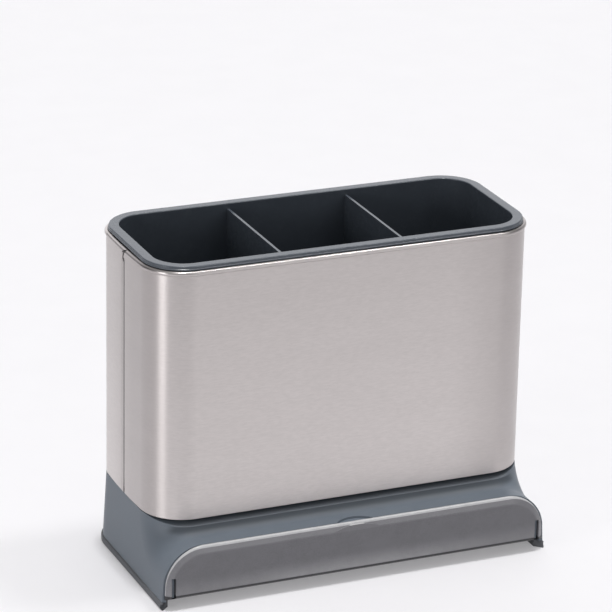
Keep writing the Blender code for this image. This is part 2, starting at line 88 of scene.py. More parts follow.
# Sizes of the base shell
SHELL_WALL = 0.0018
SHELL_FLARE = 0.0018
FRONT_REACH = 0.0157
LIP_TOP = 0.028
LIP_CORNER = 0.017
HOOD_BEND = 0.0065
SLIT_DROP = 0.0023
SLIT_RAMP = 0.014
COLLAR_WALL = 0.0016
COLLAR_TOP = 0.044
DECK_THICKNESS = 0.0035
DECK_MARGIN = 0.006
NOTCH_CENTRE = -0.0013
NOTCH_WIDTH = 0.0175
NOTCH_DEPTH = 0.0041
NOTCH_SINK = 0.001
RUNNER_WIDTH = 0.0018
RUNNER_BOTTOM = 0.0054
RUNNER_TOP = 0.0146
RUNNER_SETBACK = 0.0003
NOSE_DEPTH = 0.0015

# Sizes of the foot rim
FOOT_HEIGHT = 0.003
FOOT_PROUD = 0.0024
FOOT_ROUND = 0.0008
FOOT_SETBACK = 0.0012
FOOT_NOSE = 0.0018
FOOT_RIDGE = TOUCH * 0.85
FOOT_RIDGE_LEAN = 0.0001
TONGUE_WALL = 0.0013
TONGUE_SETBACK = 0.0035

# Sizes of the drip tray
TRAY_FLOOR = 0.0047
TRAY_WALL = 0.0016
TRAY_RIM = 0.021
FRONT_THICKNESS = 0.0042
FLANGE_THICKNESS = 0.0023
FLANGE_INSET = 0.0009
FRONT_EDGE = 0.0012
EDGE_TURN = 66
BORDER_FALL = 0.001
BORDER_TOP = 0.003
BORDER_SIDE = 0.00195
BORDER_CORNER = 0.0025
SLOT_WIDTH = 0.002
PAD_WIDTH = 0.0215
PAD_RISE = 0.0023
PAD_DROP = 0.0008

# Sizes of the lift-out insert
RIM_TOP = 0.1505
RIM_INSET = 0.00105
RIM_WIDTH = 0.0046
RIM_STEP = 0.00035
RIM_STEP_HEIGHT = 0.0006
RIM_ROUND = 0.0005
INSERT_WALL = 0.0015
INSERT_FLOOR = 0.0382
INSERT_FLOOR_THICKNESS = 0.0018
DIVIDER_SPACING = 0.057
DIVIDER_WALL = 0.0012
DIVIDER_DROP = 0.0027
DRAIN_LENGTH = 0.016
DRAIN_WIDTH = 0.004
DRAIN_PITCH = 0.0095
DRAIN_ROWS = 5

# How far cutters reach past what they cut
CUT_MARGIN = 0.004

# Rounding of the sharp edges
SHELL_EDGE = 0.00025
FOOT_EDGE = 0.0005
FINE_EDGE = 0.0002
BEVEL_ANGLE = 38
SHARP_ANGLE = 30
TRAY_SHARP_ANGLE = 12
MERGE_DISTANCE = 0.00002
FLAT_ANGLE = 0.002

# Fineness of the curved surfaces
CORNER_STEPS = 32
BEND_STEPS = 26
EDGE_STEPS = 10
BOW_STEPS = 24
BEAD_STEPS = 22
HOOK_STEPS = 24
HOLE_SIDES = 36
NOTCH_STEPS = 160
FOOT_STEPS = 8
RIM_STEPS = 5
DRAIN_STEPS = 12

# The floor's rings, and its sides
FLOOR_RADII = (0.4, 1.2, 3.0)
FLOOR_SIDES = 60

# Colours, with the darker and the paler patches of each surface
# Painted shade on the steel: paler colours low on the sleeve, darker ones towards the top
STEEL_LIT_LOW = ((0.632, 0.593, 0.581), (0.694, 0.651, 0.638))
STEEL_SHADED_HIGH = ((0.512, 0.480, 0.470), (0.564, 0.528, 0.518))
# Painted shade: the colour the steel's ends and right side are darkened towards
STEEL_PAINTED_SHADE = (0.420, 0.390, 0.384)
SHELL_COLOURS = ((0.147, 0.173, 0.206), (0.161, 0.189, 0.224))
# Painted shade on the hood just below its top edge, under the sleeve
SHELL_PAINTED_SHADE = (0.060, 0.071, 0.084)
# Painted highlight along the hood's top edge
SHELL_PAINTED_HIGHLIGHT = (0.250, 0.275, 0.310)
TRAY_COLOURS = ((0.176, 0.174, 0.189), (0.192, 0.190, 0.206))
# Painted light on the tray front's border band
TRAY_PAINTED_LIGHT = (0.300, 0.298, 0.315)
# Painted light low on the tray's front, strongest in the middle
TRAY_PAINTED_LOW_LIGHT = (0.420, 0.417, 0.434)
# Painted highlight round the tray front's arched edge
TRAY_PAINTED_HIGHLIGHT = (0.60, 0.60, 0.61)
# Painted shadow along the foot of the tray's front
TRAY_PAINTED_SHADOW = (0.030, 0.030, 0.034)
INSERT_COLOURS = ((0.078, 0.092, 0.112), (0.088, 0.103, 0.125))
FOOT_COLOURS = ((0.120, 0.126, 0.138), (0.136, 0.142, 0.155))
# Painted shade: colours of the dark strip in the seam and the block behind the hook
SEAM_SHADE_COLOURS = ((0.020, 0.020, 0.022), (0.030, 0.030, 0.032))
FLOOR_COLOURS = ((0.640, 0.633, 0.649), (0.652, 0.645, 0.661))
FLOOR_GLOW_COLOUR = (0.99, 0.98, 1.0)
FLOOR_GLOW = 0.26

# Roughness of the steel along its hairs and in broad patches, and how much the plastics' varies
STEEL_ROUGHNESS = (0.30, 0.37)
STEEL_UNEVEN = (-0.015, 0.015)
PLASTIC_UNEVEN = 0.03

# Where painted shade darkens the steel's ends towards the front and its right side: where each zone
# starts and where it is full
SHADED_ENDS = (0.079, 0.088)
SHADED_ENDS_BACK = 0.018
SHADED_ENDS_FRONT = 0.012
SHADED_ENDS_SHARE = 0.62
SHADED_RIGHT = (0.045, 0.080)
SHADED_RIGHT_SHARE = 0.54

# Painted shade and a painted highlight on the hood, by the distance below its top edge or behind
# its face
HOOD_BEHIND = (0.004, 0.0005)
HOOD_SHADE_BELOW = (0.0038, 0.0016)
HOOD_SHADE_SHARE = 0.75
HOOD_HIGHLIGHT_BELOW = (0.0005, 0.0002)
HOOD_HIGHLIGHT_SHARE = 0.80

# Painted light, highlight and shadow on the tray's front, by the distance inside its outline or
# above its foot
TRAY_HIGHLIGHT_INSETS = (0.00019, 0.00003)
TRAY_LIGHT_FADE = 0.0006
TRAY_LIGHT_SHARE = 0.30
TRAY_LOW_LIGHT_TOP = 0.015
TRAY_LOW_LIGHT_MIDDLE = 0.6
TRAY_SHADOW_RISE = (0.0011, 0.0005)

# Lights: name, direction, power and width in degrees of each sun
SUNS = (
    ("above", (0.03, 0.02, 1.0), 1.36, 3),
    ("upper_right", (0.40, -0.02, 0.92), 0.56, 10),
)
# Name, place, target, size and power of each panel
PANELS = (
    ("front", (0.45, -1.15, 0.55), (0, 0, 0.08), (0.80, 0.50), 1.3),
    ("left", (-0.94, -0.32, 0.23), (-0.085, -0.03, 0.1), (0.30, 0.45), 1.95),
)
# The room's level by bearing in degrees, 0 to the front and 90 to the right, and overhead
ROOM_LEVELS = (
    (-180, 1.30), (-166, 1.12), (-158, 0.30), (-150, 0.12), (-125, 0.06), (-98, 0.12),
    (-60, 0.26), (-35, 0.22), (-5, 0.25), (23, 0.26), (42, 0.18), (65, 0.20), (88, 0.16),
    (125, 0.60), (150, 1.30), (180, 1.30),
)
ROOM_COLOUR = (0.985, 0.98, 1.0)
OVERHEAD_LEVEL = 0.44
OVERHEAD_RISE = (0.45, 0.80)

# The camera: angles in degrees, distance in metres, lens and sensor in millimetres
CAMERA_AZIMUTH = -23.434
CAMERA_ELEVATION = 20.82
CAMERA_ROLL = 1.176
CAMERA_DISTANCE = 1.5340
CAMERA_LENS = 203.98
CAMERA_SENSOR = 36
CAMERA_REACH = 20

# Places that follow from the sizes
PLAN_Y = (FRONT_REACH - FOOT_PROUD) / 2
FRONT_Y = PLAN_Y - SLEEVE_DEPTH / 2 - FRONT_REACH
SHELL_TOP = SLEEVE_FOOT - TOUCH
SHELL_FOOT = FOOT_HEIGHT + TOUCH
BEND_HEIGHT = LIP_TOP + HOOD_BEND
LIP_Y = FRONT_Y + FLANGE_THICKNESS + TOUCH
DECK_UNDER = SHELL_TOP - DECK_THICKNESS
RUNNER_FACE = SLEEVE_LENGTH / 2 - SHELL_WALL - RUNNER_WIDTH
COLLAR_INSET = SHEET + TOUCH
RIM_INNER_INSET = RIM_INSET + RIM_WIDTH
WALL_OUTER_INSET = RIM_INNER_INSET - INSERT_WALL
RIM_SEAT = SLEEVE_TOP + TOUCH
TONGUE_TOP = TRAY_FLOOR - RUNNER_GAP
END_FACE = -SLEEVE_LENGTH / 2
SEAM_Y = PLAN_Y - SEAM_SPACING / 2
TRAY_FOOT = TRAY_FLOOR + FRONT_EDGE
CAMERA_TARGET = Vector((-0.004381, PLAN_Y, 0.110327))

ROOM = bpy.context.scene.collection


def arc(centre_x, centre_y, radius, start, end, steps):
    """Points on an arc, from angle start to angle end in degrees."""
    points = []
    for step in range(steps + 1):
        angle = math.radians(start + (end - start) * step / steps)
        points.append((centre_x + radius * math.cos(angle), centre_y + radius * math.sin(angle)))
    return points


def plan_outline(inset):
    """The sleeve's outer outline moved inwards by inset, anticlockwise, in the part's plan."""
    half_x = SLEEVE_LENGTH / 2 - inset
    half_y = SLEEVE_DEPTH / 2 - inset
    radius = SLEEVE_CORNER - inset
    x, low, high = half_x - radius, PLAN_Y - half_y + radius, PLAN_Y + half_y - radius
    return (
        arc(x, low, radius, -90, 0, CORNER_STEPS)
        + arc(x, high, radius, 0, 90, CORNER_STEPS)
        + arc(-x, high, radius, 90, 180, CORNER_STEPS)
        + arc(-x, low, radius, 180, 270, CORNER_STEPS)
    )


def arch(half, top, radius, foot):
    """An upright outline in X and Z with two rounded upper corners and a straight foot."""
    return (
        [(-half, foot), (half, foot)]
        + arc(half - radius, top - radius, radius, 0, 90, CORNER_STEPS)
        + arc(radius - half, top - radius, radius, 90, 180, CORNER_STEPS)
    )


def lip_arch(inset, foot):
    """The front lip's outline moved inwards by inset, down to the height foot."""
    return arch(SLEEVE_LENGTH / 2 - inset, LIP_TOP - inset, LIP_CORNER - inset, foot)


def chord_radius(width, rise):
    """The radius of the arc that rises by rise over a chord of the given width."""
    return (width**2 / 4 + rise**2) / (2 * rise)


def without_repeats(points):
    """The outline without points that lie on the one before them."""
    kept = []
    for point in points:
        if not kept or math.dist(point, kept[-1]) > 0.000001:
            kept.append(point)
    if math.dist(kept[0], kept[-1]) < 0.000001:
        kept.pop()
    return kept


def join_rings(body, one, other):
    """Faces between two rings of vertices."""
    for index, vertex in enumerate(one):
        after = (index + 1) % len(one)
        body.faces.new((vertex, one[after], other[after], other[index]))


def object_from(name, body):
    """An object with the mesh that body holds, its faces turned outwards."""
    bmesh.ops.recalc_face_normals(body, faces=body.faces)
    mesh = bpy.data.meshes.new(name)
    body.to_mesh(mesh)
    body.free()
    made = bpy.data.objects.new(name, mesh)
    ROOM.objects.link(made)
    return made


def solid_from(name, rings, closed=False):
    """A solid through rings of equal point counts: flat ends, or closed on itself like a hoop."""
    body = bmesh.new()
    loops = []
    for ring in rings:
        loops.append([body.verts.new([round(value, 7) for value in point]) for point in ring])
    pairs = list(zip(loops, loops[1:]))
    if closed:
        pairs.append((loops[-1], loops[0]))
    else:
        body.faces.new(loops[0])
        body.faces.new(loops[-1])
    for one, other in pairs:
        join_rings(body, one, other)
    return object_from(name, body)


def plate(name, points, low, high, upright=False):
    """A flat outline given thickness from low to high: in plan, or upright along Y."""
    outline = without_repeats(points)
    if upright:
        rings = [[(x, level, z) for x, z in outline] for level in (low, high)]
    else:
        rings = [[(x, y, level) for x, y in outline] for level in (low, high)]
    return solid_from(name, rings)


def box(name, low, high):
    """A box between two corners."""
    outline = [(low[0], low[1]), (high[0], low[1]), (high[0], high[1]), (low[0], high[1])]
    return plate(name, outline, low[2], high[2])


def combine(target, tool, operation):
    """Join or cut the target with a tool, which is then cleared away."""
    modifier = target.modifiers.new(operation, "BOOLEAN")
    modifier.operation = operation
    modifier.object = tool
    modifier.solver = "EXACT"
    apply_all(target)
    bpy.data.objects.remove(tool, do_unlink=True)


def apply_all(solid):
    """Make the solid's modifiers part of its own mesh."""
    bpy.context.view_layer.update()
    depsgraph = bpy.context.evaluated_depsgraph_get()
    mesh = bpy.data.meshes.new_from_object(solid.evaluated_get(depsgraph))
    mesh.name = solid.name
    solid.modifiers.clear()
    solid.data = mesh


def soften(solid, width, material, sharp=SHARP_ANGLE):
    """Round the sharp edges a little, then shade smooth with normals held by the larger faces."""
    body = bmesh.new()
    body.from_mesh(solid.data)
    bmesh.ops.remove_doubles(body, verts=body.verts, dist=MERGE_DISTANCE)
    bmesh.ops.dissolve_degenerate(body, edges=body.edges, dist=MERGE_DISTANCE / 2)
    bmesh.ops.dissolve_limit(body, angle_limit=FLAT_ANGLE, verts=body.verts, edges=body.edges)
    body.to_mesh(solid.data)
    body.free()
    if width:
        bevel = solid.modifiers.new("edges", "BEVEL")
        bevel.width = width
        bevel.segments = 2
        bevel.limit_method = "ANGLE"
        bevel.angle_limit = math.radians(BEVEL_ANGLE)
        bevel.miter_outer = "MITER_ARC"
        bevel.use_clamp_overlap = True
        apply_all(solid)
    solid.data.materials.clear()
    solid.data.materials.append(material)
    solid.data.shade_smooth()
    solid.data.set_sharp_from_angle(angle=math.radians(sharp))
    weighted = solid.modifiers.new("normals", "WEIGHTED_NORMAL")
    weighted.keep_sharp = True
    weighted.weight = 80
    apply_all(solid)


def flare_sides(solid):
    """Lean the end and back walls outwards towards the foot, square to the plan outline."""
    centre_x = SLEEVE_LENGTH / 2 - SLEEVE_CORNER
    centre_y = PLAN_Y + SLEEVE_DEPTH / 2 - SLEEVE_CORNER
    for vertex in solid.data.vertices:
        place = vertex.co.copy()
        lean = SHELL_FLARE * (SHELL_TOP - place.z) / SHELL_TOP
        if place.y > centre_y:
            past_x = place.x - max(-centre_x, min(centre_x, place.x))
            outward = Vector((past_x, place.y - centre_y, 0)).normalized()
            place += outward * lean
        else:
            place.x *= 1 + lean / (SLEEVE_LENGTH / 2)
        vertex.co = place


# Materials


class Nodes:
    """A node tree under construction."""

    def __init__(self, tree):
        self.tree = tree

    def node(self, kind, **values):
        """A new node with the given settings."""
        made = self.tree.nodes.new(kind)
        for key, value in values.items():
            setattr(made, key, value)
        return made

    def link(self, source, target):
        self.tree.links.new(source, target)

    def split(self, vector):
        """The X, Y and Z of a vector, each as a value."""
        parts = self.node("ShaderNodeSeparateXYZ")
        self.link(vector, parts.inputs["Vector"])
        return parts.outputs["X"], parts.outputs["Y"], parts.outputs["Z"]

    def math(self, operation, *values):
        """The result of a sum on numbers and other nodes' values."""
        made = self.node("ShaderNodeMath", operation=operation)
        for index, value in enumerate(values):
            if isinstance(value, (int, float)):
                made.inputs[index].default_value = value
            else:
                self.link(value, made.inputs[index])
        return made.outputs["Value"]

    def times(self, *values):
        """The product of two values."""
        return self.math("MULTIPLY", *values)

    def mapped(self, value, start, end, low=0.0, high=1.0, kind="LINEAR"):
        """The value's range from start to end mapped to low and high, and held beyond it."""
        made = self.node("ShaderNodeMapRange", interpolation_type=kind)
        made.inputs["From Min"].default_value = start
        made.inputs["From Max"].default_value = end
        made.inputs["To Min"].default_value = low
        made.inputs["To Max"].default_value = high
        self.link(value, made.inputs["Value"])
        return made.outputs["Result"]

    def step(self, value, start, end):
        """A smooth step from 0 at start to 1 at end."""
        return self.mapped(value, start, end, kind="SMOOTHSTEP")

    def mix(self, value, one, other):
        """A colour from one to other by a value, each a node's colour or three numbers."""
        made = self.node("ShaderNodeMix", data_type="RGBA")
        for key, colour in (("A", one), ("B", other)):
            if isinstance(colour, tuple):
                made.inputs[key].default_value = (*colour, 1.0)
            else:
                self.link(colour, made.inputs[key])
        self.link(value, made.inputs["Factor"])
        return made.outputs["Result"]


class Look(Nodes):
    """A procedural material under construction."""

    def __init__(self, name):
        self.material = bpy.data.materials.new(name)
        self.material.use_nodes = True
        super().__init__(self.material.node_tree)
        self.shader = self.tree.nodes["Principled BSDF"]
        self.colour = None

    def set(self, **values):
        """Plain values for the shader's inputs."""
        for key, value in values.items():
            self.shader.inputs[key.replace("_", " ")].default_value = value

    def feed(self, key, source):
        """A node's output for one of the shader's inputs."""
        self.link(source, self.shader.inputs[key])

    def paint(self, colour):
        """Make a node's colour the base colour."""
        self.colour = colour
        self.feed("Base Color", colour)

    def mark(self, value, colour):
        """Turn the base colour towards another one by a value from 0 to 1."""
        self.paint(self.mix(value, self.colour, colour))

    def coordinates(self, stretch):
        """Object coordinates multiplied by stretch along X, Y and Z."""
        source = self.node("ShaderNodeTexCoord")
        scale = self.node("ShaderNodeMapping")
        scale.inputs["Scale"].default_value = stretch
        self.link(source.outputs["Object"], scale.inputs["Vector"])
        return scale.outputs["Vector"]

    def place(self):
        """The surface's own X, Y and Z in metres."""
        return self.split(self.coordinates((1.0, 1.0, 1.0)))

    def noise(self, stretch, detail=3.0, roughness=0.55):
        """A noise value between 0 and 1 on stretched object coordinates."""
        texture = self.node("ShaderNodeTexNoise")
        texture.inputs["Scale"].default_value = 1.0
        texture.inputs["Detail"].default_value = detail
        texture.inputs["Roughness"].default_value = roughness
        self.link(self.coordinates(stretch), texture.inputs["Vector"])
        return texture.outputs["Fac"]

    def spread(self, value, low, high):
        """The noise value's middle range mapped to low and high."""
        return self.mapped(value, 0.3, 0.7, low, high)

    def bump(self, height, strength):
        """A fine relief of 0.02 mm at full strength."""
        bump = self.node("ShaderNodeBump")
        bump.inputs["Strength"].default_value = strength
        bump.inputs["Distance"].default_value = 0.00002
        self.link(height, bump.inputs["Height"])
        self.feed("Normal", bump.outputs["Normal"])


def brushed_steel():
    """Sheet steel brushed level all the way round, with painted shade: darker towards the top, on
    the ends towards the front and on the right side.
    """
    look = Look("brushed_steel_look")
    dashes = look.noise((300.0, 300.0, 1500.0), detail=4.0, roughness=0.6)
    hairs = look.noise((160.0, 160.0, 5200.0))
    broad = look.noise((14.0, 14.0, 120.0), detail=2.0)
    grain = look.spread(dashes, 0.0, 1.0)
    across, along, up = look.place()
    height = SLEEVE_TOP - SLEEVE_FOOT
    rise = look.math("MULTIPLY_ADD", up, 1 / height, -SLEEVE_FOOT / height)
    # Painted shade: the steel turns from the paler low colours to the darker ones up the sleeve
    look.paint(look.mix(rise, look.mix(grain, *STEEL_LIT_LOW), look.mix(grain, *STEEL_SHADED_HIGH)))
    # Painted shade on the sleeve's ends towards the front and on its right side
    ends = look.step(look.math("ABSOLUTE", across), *SHADED_ENDS)
    front = look.step(along, PLAN_Y + SHADED_ENDS_BACK, PLAN_Y - SHADED_ENDS_FRONT)
    at_ends = look.times(look.times(ends, front), SHADED_ENDS_SHARE)
    at_right = look.times(look.step(across, *SHADED_RIGHT), SHADED_RIGHT_SHARE)
    look.mark(look.math("MAXIMUM", at_ends, at_right), STEEL_PAINTED_SHADE)
    uneven = look.spread(broad, *STEEL_UNEVEN)
    look.feed("Roughness", look.math("ADD", look.spread(hairs, *STEEL_ROUGHNESS), uneven))
    look.set(Metallic=1.0, Anisotropic=0.8, Anisotropic_Rotation=0.25)
    tangent = look.node("ShaderNodeTangent", direction_type="RADIAL", axis="Z")
    look.feed("Tangent", tangent.outputs["Tangent"])
    look.bump(dashes, strength=0.20)
    return look.material


def satin_look(name, colours, roughness, grain):
    """Moulded plastic with a fine satin grain and faint handling marks."""
    look = Look(name)
    fine = look.noise((4200.0, 4200.0, 4200.0), detail=2.0)
    broad = look.noise((60.0, 60.0, 60.0))
    look.paint(look.mix(look.spread(broad, 0.0, 1.0), *colours))
    close = look.spread(fine, roughness - PLASTIC_UNEVEN, roughness + PLASTIC_UNEVEN)
    uneven = look.spread(broad, -PLASTIC_UNEVEN, PLASTIC_UNEVEN)
    look.feed("Roughness", look.math("ADD", close, uneven))
    look.bump(fine, strength=grain)
    return look


def shell_plastic():
    """Satin plastic, with a painted highlight along the hood's top edge and painted shade just
    below it.
    """
    look = satin_look("blue_grey_look", SHELL_COLOURS, roughness=0.50, grain=0.10)
    across, along, up = look.place()
    face_y = PLAN_Y - SLEEVE_DEPTH / 2
    front = look.step(along, *(face_y + behind for behind in HOOD_BEHIND))
    edge_z = SHELL_TOP - SLIT_DROP
    # Painted shade: the hood darkens just below its top edge, under the sleeve
    shaded_band = look.times(look.step(up, *(edge_z - below for below in HOOD_SHADE_BELOW)), front)
    look.mark(look.times(shaded_band, HOOD_SHADE_SHARE), SHELL_PAINTED_SHADE)
    # Painted highlight: a pale line along the hood's top edge
    lit_edge = look.times(look.step(up, *(edge_z - below for below in HOOD_HIGHLIGHT_BELOW)), front)
    look.mark(look.times(lit_edge, HOOD_HIGHLIGHT_SHARE), SHELL_PAINTED_HIGHLIGHT)
    return look.material


def arch_inset(look, straight_x, up):
    """How far a point of the tray's front lies inside the lip's arch."""
    past_x = look.math("SUBTRACT", straight_x, SLEEVE_LENGTH / 2 - LIP_CORNER)
    past_z = look.math("SUBTRACT", up, LIP_TOP - LIP_CORNER)
    past_x, past_z = (look.math("MAXIMUM", past, 0.0) for past in (past_x, past_z))
    squares = look.math("MULTIPLY_ADD", past_x, past_x, look.times(past_z, past_z))
    return look.math("SUBTRACT", LIP_CORNER, look.math("SQRT", squares))


def tray_plastic():
    """Satin plastic, with a painted highlight round the arched edge, painted light on the border
    and low on the front, and a painted shadow along the foot of the front.
    """
    look = satin_look("neutral_grey_look", TRAY_COLOURS, roughness=0.28, grain=0.08)
    across, along, up = look.place()
    lean = look.math("MULTIPLY_ADD", up, -SHELL_FLARE / SHELL_TOP, SHELL_FLARE)
    shrink = look.math("MULTIPLY_ADD", lean, 2 / SLEEVE_LENGTH, 1.0)
    straight_x = look.math("DIVIDE", look.math("ABSOLUTE", across), shrink)
    inset = arch_inset(look, straight_x, up)
    front_y = FRONT_Y + FLANGE_THICKNESS
    front = look.step(along, front_y + TOUCH, front_y)
    border = FLANGE_INSET + BORDER_TOP
    # Painted light: the border band inside the arched edge is lighter
    lit_border = look.times(look.step(inset, border, border - TRAY_LIGHT_FADE), front)
    look.mark(look.times(lit_border, TRAY_LIGHT_SHARE), TRAY_PAINTED_LIGHT)
    patches = look.spread(look.noise((220.0, 220.0, 220.0), detail=4.0), 0.75, 1.0)
    # Painted light: the front is lighter towards its foot and its middle, in patches
    low = look.step(up, TRAY_LOW_LIGHT_TOP, TRAY_FOOT)
    middle = look.step(straight_x, SLEEVE_LENGTH / 2, 0.0)
    wide = look.math("MULTIPLY_ADD", middle, TRAY_LOW_LIGHT_MIDDLE, 1 - TRAY_LOW_LIGHT_MIDDLE)
    low_light = look.times(look.times(low, wide), front)
    look.mark(look.times(low_light, patches), TRAY_PAINTED_LOW_LIGHT)
    # Painted highlight: a pale line just inside the arched outer edge
    edge_highlight = look.times(look.step(inset, *(FLANGE_INSET + deep for deep in TRAY_HIGHLIGHT_INSETS)), front)
    look.mark(look.times(edge_highlight, patches), TRAY_PAINTED_HIGHLIGHT)
    # Painted shadow: the front darkens just above its foot
    foot_shadow = look.step(up, *(TRAY_FOOT + rise for rise in TRAY_SHADOW_RISE))
    look.mark(look.times(foot_shadow, front), TRAY_PAINTED_SHADOW)
    return look.material


# Pieces


def end_bow(y):
    """How far the sleeve's end face stands out at y, beyond the flat."""
    straight = SLEEVE_DEPTH / 2 - SLEEVE_CORNER
    return END_BOW * max(0, 1 - ((y - PLAN_Y) / straight) ** 2)


def seamed_outline(inset, groove):
    """The plan outline with slightly bowed ends, and two grooves of the seam in the left one."""
    half_x = SLEEVE_LENGTH / 2 - inset
    straight = SLEEVE_DEPTH / 2 - SLEEVE_CORNER
    ends = [PLAN_Y + straight * (1 - 2 * step / BOW_STEPS) for step in range(1, BOW_STEPS)]
    back_line = (SEAM_SPACING / 2, SEAM_BACK_GAP, SEAM_BACK_SHARE)
    front_line = (-SEAM_SPACING / 2, SEAM_GAP, 1.0)
    seam = []
    for middle, width, share in (back_line, front_line):
        floor = [(SEAM_FLOOR_SHARE, share), (-SEAM_FLOOR_SHARE, share)]
        for offset, deep in [(0.5, 0), *floor, (-0.5, 0)]:
            seam.append((PLAN_Y + middle + width * offset, groove * deep))
    clear = [(y, 0) for y in ends if abs(y - PLAN_Y) > SEAM_SPACING]
    left = [(deep - half_x - end_bow(y), y) for y, deep in sorted(clear + seam, reverse=True)]
    right = [(half_x + end_bow(y), y) for y in sorted(ends)]
    points = without_repeats(plan_outline(inset))
    split = max(index for index, point in enumerate(points) if point[1] > PLAN_Y and point[0] < 0)
    turn = max(index for index, point in enumerate(points) if point[1] < PLAN_Y and point[0] > 0)
    return points[: turn + 1] + right + points[turn + 1 : split + 1] + left + points[split + 1 :]


def cut_end(sleeve, name, outline):
    """Cut an outline in Y and Z through the sleeve's left end."""
    rings = [[(x, y, z) for y, z in outline] for x in (END_FACE - CUT_MARGIN, END_FACE + END_CUT)]
    combine(sleeve, solid_from(name, rings), "DIFFERENCE")


def cut_hook(sleeve):
    """The curved slit where the seam runs out under the rolled edge, with the hole at its end."""
    centre_y, centre_z = SEAM_Y - HOOK_FORWARD, SLEEVE_TOP - HOOK_DROP
    start, end = HOOK_ANGLES
    outline = arc(centre_y, centre_z, HOOK_RADIUS + HOOK_WIDTH / 2, start, end, HOOK_STEPS)
    outline += arc(centre_y, centre_z, HOOK_RADIUS - HOOK_WIDTH / 2, end, start, HOOK_STEPS)
    cut_end(sleeve, "hook", outline)
    hole_y, hole_z = SEAM_Y + HOOK_HOLE_BACK, centre_z - HOOK_HOLE_DROP
    last = 360 - 360 / HOLE_SIDES
    cut_end(sleeve, "hole", arc(hole_y, hole_z, HOOK_HOLE_RADIUS, 0, last, HOLE_SIDES - 1))


def make_sleeve(material):
    """The steel sleeve: one sheet with a rolled top edge and a folded seam up the left end."""
    roll_inset = BEAD_RADIUS - BEAD_PROUD
    outer_angle = 270 - math.degrees(math.asin(roll_inset / BEAD_RADIUS))
    inner_angle = -90 + math.degrees(math.asin((SHEET - roll_inset) / BEAD_RADIUS))
    roll_z = SLEEVE_TOP - BEAD_RADIUS
    roll = arc(roll_inset, roll_z, BEAD_RADIUS, outer_angle, inner_angle, BEAD_STEPS)
    profile = [(SHEET_EDGE, SLEEVE_FOOT, 0.0), (0.0, SLEEVE_FOOT + SHEET_EDGE, SEAM_GROOVE)]
    profile += [(0.0, SEAM_TOP, SEAM_GROOVE), (0.0, SEAM_TOP + TOUCH, 0.0)]
    profile += [(inset, z, 0.0) for inset, z in roll]
    profile.append((SHEET, SLEEVE_FOOT, 0.0))
    rings = []
    for inset, z, groove in profile:
        rings.append([(x, y, z) for x, y in seamed_outline(inset, groove)])
    sleeve = solid_from("sleeve_brushed", rings, closed=True)
    cut_hook(sleeve)
    low = (END_FACE - END_CUT, SEAM_Y - RELIEF_WIDTH / 2, SLEEVE_FOOT - CUT_MARGIN)
    high = (END_FACE + END_CUT, SEAM_Y + RELIEF_WIDTH / 2, SLEEVE_FOOT + RELIEF_HEIGHT)
    combine(sleeve, box("relief", low, high), "DIFFERENCE")
    soften(sleeve, 0.0, material)
    return sleeve


def make_seam_shade_strip(material):
    """Painted shade: a dark strip in the seam's groove and a dark block behind the hook-shaped
    slit, where shade falls.
    """
    face = END_FACE - END_BOW
    reach = SEAM_GAP * SEAM_STRIP_SHARE
    low = (face + SEAM_STRIP_DEPTH, SEAM_Y - reach, SLEEVE_FOOT + RELIEF_HEIGHT)
    high = (face + SEAM_GROOVE + SHEET / 4, SEAM_Y + reach, SEAM_STRIP_TOP)
    # Painted shade: a dark strip set into the seam's groove
    strip = box("seam_gap", low, high)
    low = (face + SHADE_DEPTHS[0], SEAM_Y - SHADE_FRONT, SLEEVE_TOP - SHADE_DROPS[0])
    high = (face + SHADE_DEPTHS[1], SEAM_Y + SHADE_BACK, SLEEVE_TOP - SHADE_DROPS[1])
    combine(strip, box("behind_hook", low, high), "UNION")
    soften(strip, 0.0, material)
    return strip


def hood(name, inset, reach, foot):
    """The plan's front outline, turned forwards through a right angle and run out to the lip."""
    half = SLEEVE_LENGTH / 2 - inset
    pivot_y = PLAN_Y - SLEEVE_DEPTH / 2 - HOOD_BEND
    depth = LIP_TOP - inset - foot
    rings = []
    for step in range(BEND_STEPS + 2):
        share = min(step / BEND_STEPS, 1)
        radius = SLEEVE_CORNER + (LIP_CORNER - SLEEVE_CORNER) * share - inset
        turn = math.pi / 2 * share
        section = (
            [(half, depth), (-half, depth)]
            + arc(radius - half, radius, radius, 180, 270, CORNER_STEPS)
            + arc(half - radius, radius, radius, 270, 360, CORNER_STEPS)
        )
        forward = pivot_y - LIP_Y + reach if step > BEND_STEPS else 0
        rings.append([])
        for x, deep in section:
            arm = HOOD_BEND + inset + deep
            y = pivot_y + arm * math.cos(turn) - forward
            rings[-1].append((x, y, BEND_HEIGHT - arm * math.sin(turn)))
    return solid_from(name, rings)


def cut_front_slit(shell):
    """Lower the shell's top and end its collar along the front, with a ramp round each corner."""
    slope = math.atan2(SLIT_DROP, SLIT_RAMP)
    start = Vector((0, PLAN_Y - SLEEVE_DEPTH / 2 + SLIT_RAMP, SHELL_TOP))
    half = SLEEVE_LENGTH / 2 + CUT_MARGIN
    height = COLLAR_TOP - SHELL_TOP + 2 * SLIT_DROP
    wedge = box("slit", (-half, -SLIT_RAMP - FRONT_REACH, 0), (half, 0, height))
    wedge.data.transform(Matrix.Translation(start) @ Matrix.Rotation(slope, 4, "X"))
    combine(shell, wedge, "DIFFERENCE")


